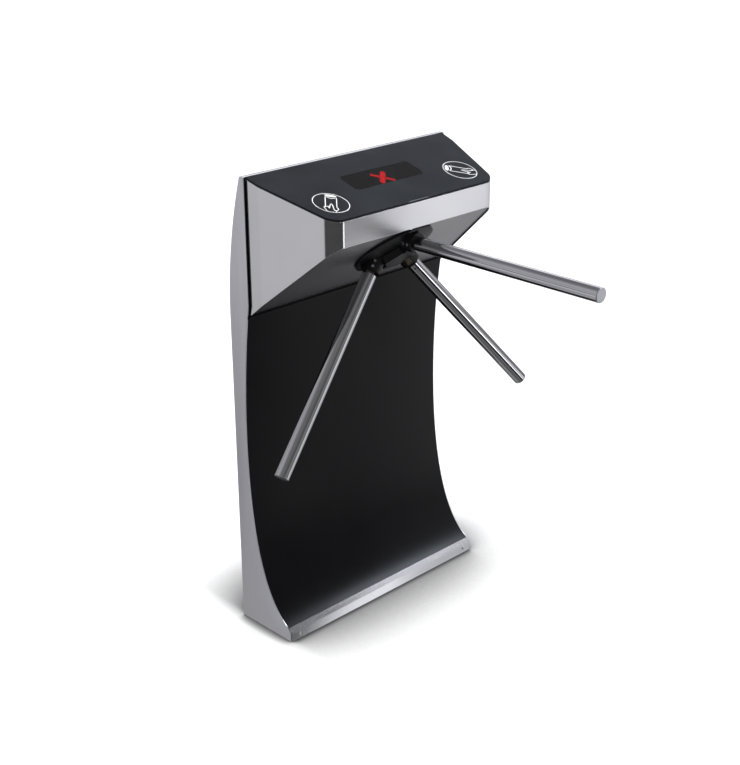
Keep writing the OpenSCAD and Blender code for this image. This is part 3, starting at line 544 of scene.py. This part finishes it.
class HeadSizes(bpy.types.PropertyGroup):
    """Sizes of the reader head."""
    back: FloatProperty(name="Back", description="Depth where the head begins", default=0.057, unit="LENGTH")
    flare: FloatProperty(name="Flare", description="How far each side opens outward behind its fold",
                         default=0.0032,
                         unit="LENGTH")
    bend: FloatProperty(name="Bend", description="Depth of the fold in each side", default=0.092,
                        unit="LENGTH")
    front_half: FloatProperty(name="Front half width", description="Half the width over the front corners",
                              default=0.2295, unit="LENGTH")
    corner: FloatProperty(name="Corner radius", description="Radius of the two front corners", default=0.038,
                          unit="LENGTH")
    face_height: FloatProperty(name="Band height", description="Height of the upright front band",
                               default=0.0564,
                               unit="LENGTH")
    top_slope: FloatProperty(name="Top slope", description="Fall of the top towards the front",
                             default=math.radians(16.9), unit="ROTATION")
    under_slope: FloatProperty(name="Underside slope", description="Rise of the underside towards the front",
                               default=math.radians(40.3), unit="ROTATION")
    cover: FloatProperty(name="Cover", description="Thickness of the black cover", default=0.004,
                         unit="LENGTH")
    window_width: FloatProperty(name="Window width", description="Width of the display window", default=0.194,
                                unit="LENGTH")
    window_length: FloatProperty(name="Window length", description="Length of the window down the slope",
                                 default=0.058, unit="LENGTH")
    window_middle: FloatProperty(name="Window middle",
                                 description="Distance of its middle from the back edge",
                                 default=0.101, unit="LENGTH")
    window_corner: FloatProperty(name="Window corner", description="Corner radius of the window",
                                 default=0.012,
                                 unit="LENGTH")
    cross_x: FloatProperty(name="Cross offset", description="Sideways place of the red cross", default=0.002,
                           unit="LENGTH")
    cross_along: FloatProperty(name="Cross place", description="Distance of the cross from the back edge",
                               default=0.1015, unit="LENGTH")
    symbol_x: FloatProperty(name="Symbol offset", description="Sideways place of the reader symbols",
                            default=0.1839,
                            unit="LENGTH")
    symbol_along: FloatProperty(name="Symbol place", description="Distance of the symbols from the back edge",
                                default=0.1485, unit="LENGTH")
    symbol_radius: FloatProperty(name="Symbol radius", description="Radius of the printed ring",
                                 default=0.0366,
                                 unit="LENGTH")


class StudioSettings(bpy.types.PropertyGroup):
    """The room round the turnstile."""
    floor: FloatVectorProperty(name="Floor", description="Colour of the floor", subtype="COLOR",
                               default=(0.9, 0.9, 0.9))
    fill: FloatProperty(name="Fill", description="Strength of the even light", default=1.7)
    lamp: FloatProperty(name="Lamp", description="Strength of the lamp seen in reflections", default=26.0)


# ---- pieces ----
SLOT_OF = {}  # the finish slot the frame gives each node


class TURNSTILE_OT_finishes(bpy.types.Operator):
    """Make the finishes and give them to the frame's own pieces"""
    bl_idname = "turnstile.finishes"
    bl_label = "Finishes"

    def execute(self, context):
        make_finishes()
        for name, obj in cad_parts.items():
            slot_name = obj.material_slots[0].material.name.split(".")[0]
            if slot_name not in CAD_FINISH:
                raise RuntimeError(f"{name} has the unknown finish {slot_name}")
            SLOT_OF[name] = slot_name
            finish = FINISH[NODE_FINISH.get(name, CAD_FINISH[slot_name])]
            for material_slot in obj.material_slots:
                material_slot.material = finish
        return {"FINISHED"}


class TURNSTILE_OT_column(bpy.types.Operator):
    """Build the side plates, back, front panel and foot trim"""
    bl_idname = "turnstile.column"
    bl_label = "Column"

    def execute(self, context):
        column, head = context.scene.turnstile_column, context.scene.turnstile_head
        t, p = column.sheet, column.panel
        toe = np.array([column.foot_depth - column.trim_slope, column.trim_face + column.trim_slope])
        trim_outer = np.array([toe, [column.foot_depth, column.trim_face], [column.foot_depth, 0]])
        trim_inner = np.array([[column.foot_depth - t, 0],
                               [column.foot_depth - t, column.trim_face - t * math.tan(math.radians(22.5))],
                               toe - t * math.sqrt(0.5)])
        side = np.vstack([[[0, 0]], back_curve(column), [[column.neck_depth, HEIGHT]],
                          front_curve(column, head)[:-1], trim_inner[::-1]])
        steel_up = FINISH["upright_steel"]
        new_piece("left_side_skin", *extruded(side, -HALF_WIDTH, -HALF_WIDTH + t, SIDE_EDGE), "pedestal",
                  "brushed_stainless", steel_up, ["left_side_plate"])
        new_piece("right_side_skin", *extruded(side, HALF_WIDTH - t, HALF_WIDTH, SIDE_EDGE), "pedestal",
                  "brushed_stainless", steel_up, ["right_side_plate"])
        back = np.vstack([[[0, 0]], back_curve(column), back_curve(column, t)[::-1], [[t, 0]]])
        inner = HALF_WIDTH - t
        new_piece("back_skin", *extruded(back, -inner, inner, SHEET_EDGE), "pedestal", "brushed_stainless",
                  steel_up,
                  ["back_cover"])
        limit = under_z(head.back, head) - PANEL_GAP
        outer, lining = front_curve(column, head), front_curve(column, head, p)
        cut = p / math.cos(math.radians(45) - column.foot_angle) * math.sqrt(0.5)
        panel = np.vstack([outer, [toe - cut], lining[:-1][::-1]])
        panel[:, 1] = np.minimum(panel[:, 1], limit)
        keep = np.ones(len(panel), bool)
        keep[1:] = np.linalg.norm(np.diff(panel, axis=0), axis=1) > 1e-6
        new_piece("front_panel_skin", *extruded(panel[keep], -inner, inner, SHEET_EDGE), "pedestal",
                  "black_panel",
                  FINISH["black_panel"], ["front_panel"])
        trim = np.vstack([trim_outer, trim_inner])
        reach = HALF_WIDTH - column.trim_gap
        new_piece("foot_trim_skin", *extruded(trim, -reach, reach, SHEET_EDGE), "pedestal",
                  "brushed_stainless", FINISH["trim_steel"], ["foot_trim"])
        return {"FINISHED"}


def head_stations(head, inset):
    """The head in plan from the left back round to the right back: straight, fold, slant, round corner.

    The slant meets the corner's circle and the fold's circle on their tangents."""
    side = math.atan((HEAD_HALF - head.front_half) / (HEAD_REACH - head.bend))
    cy = HEAD_REACH - head.corner
    cx = HEAD_HALF - (head.corner + (cy - head.bend) * math.sin(side)) / math.cos(side)
    a = np.linspace(side, math.pi / 2, 25)
    arc = np.stack([cx + (head.corner - inset) * np.cos(a), cy + (head.corner - inset) * np.sin(a)], 1)
    f = np.linspace(0, side, 5)
    reach = FOLD_RADIUS * math.tan(side / 2)
    fold = np.stack([HEAD_HALF - FOLD_RADIUS + (FOLD_RADIUS - inset) * np.cos(f),
                     head.bend - reach + (FOLD_RADIUS - inset) * np.sin(f)], 1)
    right = np.vstack([[[HEAD_HALF + head.flare - inset, head.back]], fold, arc])
    return np.vstack([right * [-1, 1], right[::-1]])


class TURNSTILE_OT_head(bpy.types.Operator):
    """Build the head's brushed wrap and its black cover"""
    bl_idname = "turnstile.head"
    bl_label = "Head"

    def execute(self, context):
        column, head = context.scene.turnstile_column, context.scene.turnstile_head
        t, e = column.sheet, SHEET_EDGE
        outer, inner = head_stations(head, 0.0), head_stations(head, t)
        drop = head.cover / math.cos(head.top_slope)

        def at(share, lift, drop_top):
            """Points at a share of the thickness, lifted from the lower or dropped from the upper edge."""
            plan = outer * (1 - share) + inner * share
            z = top_z(plan[:, 1], head) - drop - lift if drop_top else under_z(plan[:, 1], head) + lift
            return np.column_stack([plan[:, 0], BACK_Y - plan[:, 1], z])

        near = e / t
        loops = [at(0, e, False), at(near, 0, False), at(1 - near, 0, False), at(1, e, False),
                 at(1, e, True), at(1 - near, 0, True), at(near, 0, True), at(0, e, True)]
        n = len(outer)
        points = np.concatenate(loops)
        k = np.arange(n - 1)
        faces = []
        for r in range(8):
            q = (r + 1) % 8
            faces += np.stack([r * n + k, q * n + k, q * n + k + 1, r * n + k + 1], 1).tolist()
        faces += [[r * n for r in range(8)][::-1], [r * n + n - 1 for r in range(8)]]
        new_piece("head_wrap", points, faces, "pedestal", "brushed_stainless", FINISH["level_steel"],
                  ["head_shell"], sharp=10)

        middle = head.window_middle
        cos_top = math.cos(head.top_slope)
        edge = outer.copy()
        edge[:, 1] = (edge[:, 1] - head.back) / cos_top
        hole = rounded_loop(head.window_width / 2, head.window_length / 2, head.window_corner) + [0, middle]
        centre = np.array([0, middle])
        angles = np.concatenate([np.linspace(-math.pi, math.pi, 240, endpoint=False),
                                 np.arctan2(*(edge - centre).T[::-1]), np.arctan2(*(hole - centre).T[::-1])])
        angles = np.unique(angles.round(6))
        rim, lip = ray_hits(edge, centre, angles), ray_hits(hole, centre, angles)
        inward = (centre - rim) / np.linalg.norm(rim - centre, axis=1)[:, None]
        in_rim, far_rim = rim + inward * COVER_ROUND, rim + inward * COVER_FLAT

        def lay(plan, depth):
            """Plan points of the slope put a depth below the top face, sides kept upright."""
            x, along = plan[:, 0], plan[:, 1]
            d = head.back + along * cos_top
            return np.column_stack([x, BACK_Y - d, top_z(d, head) - depth / cos_top])

        half_way = (lip + rim) / 2
        rings = [lay(lip, 0.0), lay(half_way, 0.0), lay(far_rim, 0.0), lay(in_rim, 0.0), lay(rim, COVER_DROP),
                 lay(rim, head.cover - COVER_CHAMFER), lay(in_rim, head.cover), lay(half_way, head.cover),
                 lay(lip, head.cover)]
        faces = ring_faces(len(rings), len(angles), closed_rings=True)
        new_piece("top_cover_skin", np.concatenate(rings), faces, "pedestal", "black_cover",
                  FINISH["black_cover"], ["top_cover"])
        return {"FINISHED"}


def rounded_loop(half_x, half_y, radius, steps=10):
    """A rounded rectangle about the origin: four quarter circles joined by straight sides."""
    a = np.linspace(0, math.pi / 2, steps + 1)
    arc = radius * np.stack([np.cos(a), np.sin(a)], 1)
    c = np.array([half_x - radius, half_y - radius])
    turns = [(1, 1, arc), (-1, 1, arc[::-1]), (-1, -1, arc), (1, -1, arc[::-1])]
    return np.vstack([(c + q) * [sx, sy] for sx, sy, q in turns])


def ray_hits(loop, centre, angles):
    """Where rays from a centre at the given angles first meet a closed outline.

    Ray t * d meets side p + u * s where t = (p x s) / (d x s) and u = (p x d) / (d x s), from 0 to 1."""
    p, q = loop - centre, np.roll(loop, -1, 0) - centre
    d = np.stack([np.cos(angles), np.sin(angles)], 1)[:, None, :]
    s = (q - p)[None]
    cross = d[..., 0] * s[..., 1] - d[..., 1] * s[..., 0]
    cross = np.where(np.abs(cross) < 1e-12, 1e-12, cross)
    t = (p[None, :, 0] * s[..., 1] - p[None, :, 1] * s[..., 0]) / cross
    u = (p[None, :, 0] * d[..., 1] - p[None, :, 1] * d[..., 0]) / cross
    t = np.where((u >= -1e-6) & (u <= 1 + 1e-6) & (t > 1e-6), t, np.inf)
    return centre + np.min(t, 1)[:, None] * d[:, 0, :]


def arc_points(cx, cy, radius, start, end, steps=24):
    """Points on a circle between two angles in degrees."""
    a = np.radians(np.linspace(start, end, steps + 1))
    return np.stack([cx + radius * np.cos(a), cy + radius * np.sin(a)], 1)


class TURNSTILE_OT_screws(bpy.types.Operator):
    """Build the button heads of the two foot trim screws"""
    bl_idname = "turnstile.screws"
    bl_label = "Trim screws"

    def execute(self, context):
        column = context.scene.turnstile_column
        low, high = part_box("foot_trim_screws")
        face_y = BACK_Y - column.foot_depth
        middle, r, rise = (low.z + high.z) / 2, (high.z - low.z) / 2, face_y - low.y
        shank, inner = r / 2, column.sheet
        # Radius and height out of the trim: a round well, a domed crown, and the shank behind.
        t = np.linspace(0, math.pi / 2, 7)
        dome = [(r * (0.5 + 0.5 * math.sin(a)), rise * (0.25 + 0.75 * math.cos(a))) for a in t]
        profile = [(0, rise * 0.3), (r * 0.38, rise * 0.3), (r * 0.42, rise * 0.95)] + dome
        profile += [(r, 0.0), (shank, 0.0), (shank, -inner), (0, -inner)]
        parts = []
        for side in (-1, 1):
            points, faces = turned(profile, 32)
            place = [points[:, 0] + side * (high.x - r), face_y - points[:, 2], points[:, 1] + middle]
            parts.append((np.column_stack(place), faces))
        points, faces = joined(parts)
        new_piece("trim_screw_heads", points, faces, "pedestal", SLOT_OF["foot_trim_screws"],
                  FINISH["bright_steel"], ["foot_trim_screws"])
        return {"FINISHED"}


class TURNSTILE_OT_symbols(bpy.types.Operator):
    """Print the two reader symbols and light the red cross behind the window"""
    bl_idname = "turnstile.symbols"
    bl_label = "Symbols and cross"

    def execute(self, context):
        head = context.scene.turnstile_head
        # A hand holds a telephone up to a reader, in millimetres: right, then up.
        lines = [
            (1.7, [(-11.3, 23), (-11.3, -20)]),
            (1.7, [(11.1, 23.5), (11.1, -14.5)]),
            (1.5, [(-14.2, -20.6), (-12.6, -17.6), (-6, -15.5), (-3.6, -23)]),
            (1.7, [(-3.6, -23), (-2, -8.8), (0.3, -3.5), (2.6, -6.8), (5.4, -25), (8.3, -29), (11.8, -28),
                   (14.6, -20.5), (11.1, -14.5)]),
            (1.5, [(-14.2, -20.6), (-7, -36)]),
            (1.5, [(10.2, -28.6), (9.4, -36)]),
            (1.8, [(-9.5, 23.5), (-5, 19.8), (0, 18.6), (5, 19.8), (9.5, 23.5)]),
        ]
        c, s = math.cos(SYMBOL_TURN), math.sin(SYMBOL_TURN)
        ways = {"left": (-1, (c, s), (s, -c)), "right": (1, (s, -c), (-c, -s))}
        ring = arc_points(0, 0, head.symbol_radius, 0, 354, 59)
        reader_spot = arc_points(0, 0, 1, 0, 345, 23) * [12, 4.2] + [-1, 28.6]
        drawing = [ribbon(ring, RING_LINE, INK_LOW, INK_HIGH, True), slab(reader_spot / 1000, INK_LOW,
                                                                          INK_HIGH)]
        drawing += [ribbon(np.array(line) / 1000, width / 1000, INK_LOW, INK_HIGH) for width, line in lines]
        points, faces = joined(drawing)
        for name, (side, across, up) in ways.items():
            flat = points[:, :1] * across + points[:, 1:2] * up + [side * head.symbol_x, head.symbol_along]
            new_piece(f"{name}_reader_symbol", from_top(np.column_stack([flat, points[:, 2]]), head), faces,
                      "pedestal", "black_cover", FINISH["white_print"])

        low = -head.cover - BOARD_DROP
        mask = rounded_loop(head.window_width / 2 + MASK_LIP, head.window_length / 2 + MASK_LIP,
                            head.window_corner) + [0, head.window_middle]
        points, faces = slab(mask, low - 0.0003, low + 0.0001)
        new_piece("display_mask", from_top(points, head), faces, "pedestal", SLOT_OF["display_board"],
                  FINISH["black_mask"])

        # The cross: one stroke three dots wide, the other a single chain of larger dots.
        last = DIODE_COUNT - 1
        cells = [(i, j, 0.49) for i in range(last + 1) for j in range(last + 1) if abs(i + j - last) < 2]
        cells += [(i, i, 0.6) for i in range(last + 1) if i not in (3, 4)]
        dots = []
        for i, j, half in cells:
            centre = [(i - last / 2) * DIODE_PITCH_X + head.cross_x,
                      (j - last / 2) * DIODE_PITCH_Y + head.cross_along]
            dot = rounded_loop(DIODE_PITCH_X * half, DIODE_PITCH_Y * half, DIODE_CORNER, 3) + centre
            dots.append(slab(dot, low, low + DIODE_RISE))
        points, faces = joined(dots)
        new_piece("red_cross", from_top(points, head), faces, "pedestal", "smoked_window",
                  FINISH["red_diode"])
        return {"FINISHED"}


class TURNSTILE_OT_stage(bpy.types.Operator):
    """Set the floor, the room's light and the camera"""
    bl_idname = "turnstile.stage"
    bl_label = "Stage"

    def execute(self, context):
        scene, studio = context.scene, context.scene.turnstile_studio
        mesh = bpy.data.meshes.new("floor")
        corners = ((-1, -1), (1, -1), (1, 1), (-1, 1))
        mesh.from_pydata([(x * FLOOR_HALF, y * FLOOR_HALF, -FLOOR_DROP) for x, y in corners], [], [(0, 1, 2,
                                                                                                    3)])
        floor = bpy.data.objects.new("floor", mesh)
        scene.collection.objects.link(floor)
        floor.visible_glossy = False
        material, tree, shader = new_material("white_floor")
        shader.inputs["Roughness"].default_value = 0.8
        shader.inputs["Specular IOR Level"].default_value = 0.1
        # The floor's colour carries a painted shadow: it darkens where the foot stands close, less so on its
        # left.
        painted_shadow_occlusion = add_node(tree, "ShaderNodeAmbientOcclusion", {"Distance": 0.24}, samples=16)
        place = add_node(tree, "ShaderNodeSeparateXYZ",
                         {"Vector": add_node(tree, "ShaderNodeTexCoord").outputs["Object"]})
        painted_shadow_power = add_node(tree, "ShaderNodeMapRange", {"Value": place.outputs["X"], "From Min": -0.31,
                                                      "From Max": -0.27, "To Min": 0.2, "To Max": 4.2})
        painted_shadow_dim = add_node(tree, "ShaderNodeMath", {0: painted_shadow_occlusion.outputs["AO"], 1: painted_shadow_power.outputs["Result"]},
                       operation="POWER")
        tone = add_node(tree, "ShaderNodeMix", {"Factor": painted_shadow_dim.outputs[0], 6: (0, 0, 0, 1), 7: (*studio.floor,
                                                                                               1)},
                        data_type="RGBA")
        tree.links.new(tone.outputs[2], shader.inputs["Base Color"])
        mesh.materials.append(material)

        world = bpy.data.worlds.new("studio")
        scene.world = world
        world.use_nodes = True
        tree = world.node_tree
        output = tree.nodes["World Output"]
        even = tree.nodes["Background"]
        even.inputs["Color"].default_value = (1, 1, 1, 1)
        even.inputs["Strength"].default_value = studio.fill
        direction = add_node(tree, "ShaderNodeTexCoord").outputs["Generated"]
        split = add_node(tree, "ShaderNodeSeparateXYZ", {"Vector": direction})
        angle = add_node(tree, "ShaderNodeMath", {0: split.outputs["Y"], 1: split.outputs["X"]},
                         operation="ARCTAN2")
        turn = add_node(tree, "ShaderNodeMapRange", {"Value": angle.outputs[0], "From Min": -math.pi,
                                                     "From Max": math.pi})
        around = add_node(tree, "ShaderNodeValToRGB", {"Fac": turn.outputs[0]},
                          stops=[((a + 180) / 360, grey(v / AROUND_PEAK, 1.03)) for a, v in AROUND])
        height = add_node(tree, "ShaderNodeMapRange", {"Value": split.outputs["Z"], "From Min": -1.0})
        levels = add_node(tree, "ShaderNodeValToRGB", {"Fac": height.outputs[0]},
                          stops=[((z + 1) / 2, grey(v / LEVELS_PEAK)) for z, v in LEVELS])
        room = add_node(tree, "ShaderNodeMix", {"Factor": 1.0, 6: around.outputs[0], 7: levels.outputs[0]},
                        data_type="RGBA", blend_type="MULTIPLY")
        belt = add_node(tree, "ShaderNodeValToRGB", {"Fac": height.outputs[0]},
                        stops=[((z + 1) / 2, grey(v / ROOM_PEAK)) for z, v in BELT])
        total = add_node(tree, "ShaderNodeMix", {"Factor": 1.0, 6: room.outputs[2], 7: belt.outputs[0]},
                         data_type="RGBA", blend_type="LIGHTEN")
        for az, el, inner, outer, colour in SOFT_LAMPS:
            az, el = math.radians(az), math.radians(el)
            toward = (math.cos(el) * math.cos(az), math.cos(el) * math.sin(az), math.sin(el))
            near = add_node(tree, "ShaderNodeVectorMath", {0: direction, 1: toward}, operation="DOT_PRODUCT")
            share = add_node(tree, "ShaderNodeMapRange", {"Value": near.outputs["Value"],
                                                          "From Min": math.cos(math.radians(outer)),
                                                          "From Max": math.cos(math.radians(inner)),
                                                          "To Min": 0.0,
                                                          "To Max": studio.lamp / ROOM_PEAK},
                             interpolation_type="SMOOTHSTEP")
            light = add_node(tree, "ShaderNodeMix", {"Factor": share.outputs["Result"], 6: (0, 0, 0, 1),
                                                     7: colour},
                             data_type="RGBA", clamp_factor=False)
            total = add_node(tree, "ShaderNodeMix", {"Factor": 1.0, 6: total.outputs[2], 7: light.outputs[2]},
                             data_type="RGBA", blend_type="ADD")
        seen = add_node(tree, "ShaderNodeBackground", {"Color": total.outputs[2], "Strength": ROOM_PEAK})
        path = add_node(tree, "ShaderNodeLightPath")
        mixed = add_node(tree, "ShaderNodeMixShader", {"Fac": path.outputs["Is Glossy Ray"],
                                                       1: even.outputs[0],
                                                       2: seen.outputs[0]})
        tree.links.new(mixed.outputs[0], output.inputs["Surface"])

        lens = bpy.data.cameras.new("camera")
        lens.sensor_fit, lens.sensor_width, lens.lens = "AUTO", CAMERA_SENSOR, CAMERA_LENS
        lens.shift_x, lens.shift_y = CAMERA_SHIFT
        camera = bpy.data.objects.new("camera", lens)
        camera.location = CAMERA_PLACE
        camera.rotation_euler = [math.radians(angle) for angle in CAMERA_TURN]
        scene.collection.objects.link(camera)
        scene.camera = camera
        scene.view_settings.view_transform = "Standard"
        return {"FINISHED"}


class TURNSTILE_PT_panel(bpy.types.Panel):
    """Lists the pieces of the turnstile"""
    bl_idname = "TURNSTILE_PT_panel"
    bl_label = "Turnstile"
    bl_space_type = "VIEW_3D"
    bl_region_type = "UI"
    bl_category = "Turnstile"

    def draw(self, context):
        for operator in OPERATORS:
            self.layout.operator(operator.bl_idname)


OPERATORS = (TURNSTILE_OT_finishes, TURNSTILE_OT_column, TURNSTILE_OT_head, TURNSTILE_OT_screws,
             TURNSTILE_OT_symbols, TURNSTILE_OT_stage)
GROUPS = {"turnstile_column": ColumnSizes, "turnstile_head": HeadSizes, "turnstile_studio": StudioSettings}


def register():
    for group in (*GROUPS.values(), *OPERATORS, TURNSTILE_PT_panel):
        bpy.utils.register_class(group)
    for name, group in GROUPS.items():
        setattr(bpy.types.Scene, name, PointerProperty(type=group))


def unregister():
    for name in GROUPS:
        delattr(bpy.types.Scene, name)
    for group in (TURNSTILE_PT_panel, *reversed(OPERATORS), *reversed(list(GROUPS.values()))):
        bpy.utils.unregister_class(group)


def main():
    register()
    for operator in OPERATORS:
        group, name = operator.bl_idname.split(".")
        getattr(getattr(bpy.ops, group), name)()


if __name__ == "__main__":
    main()
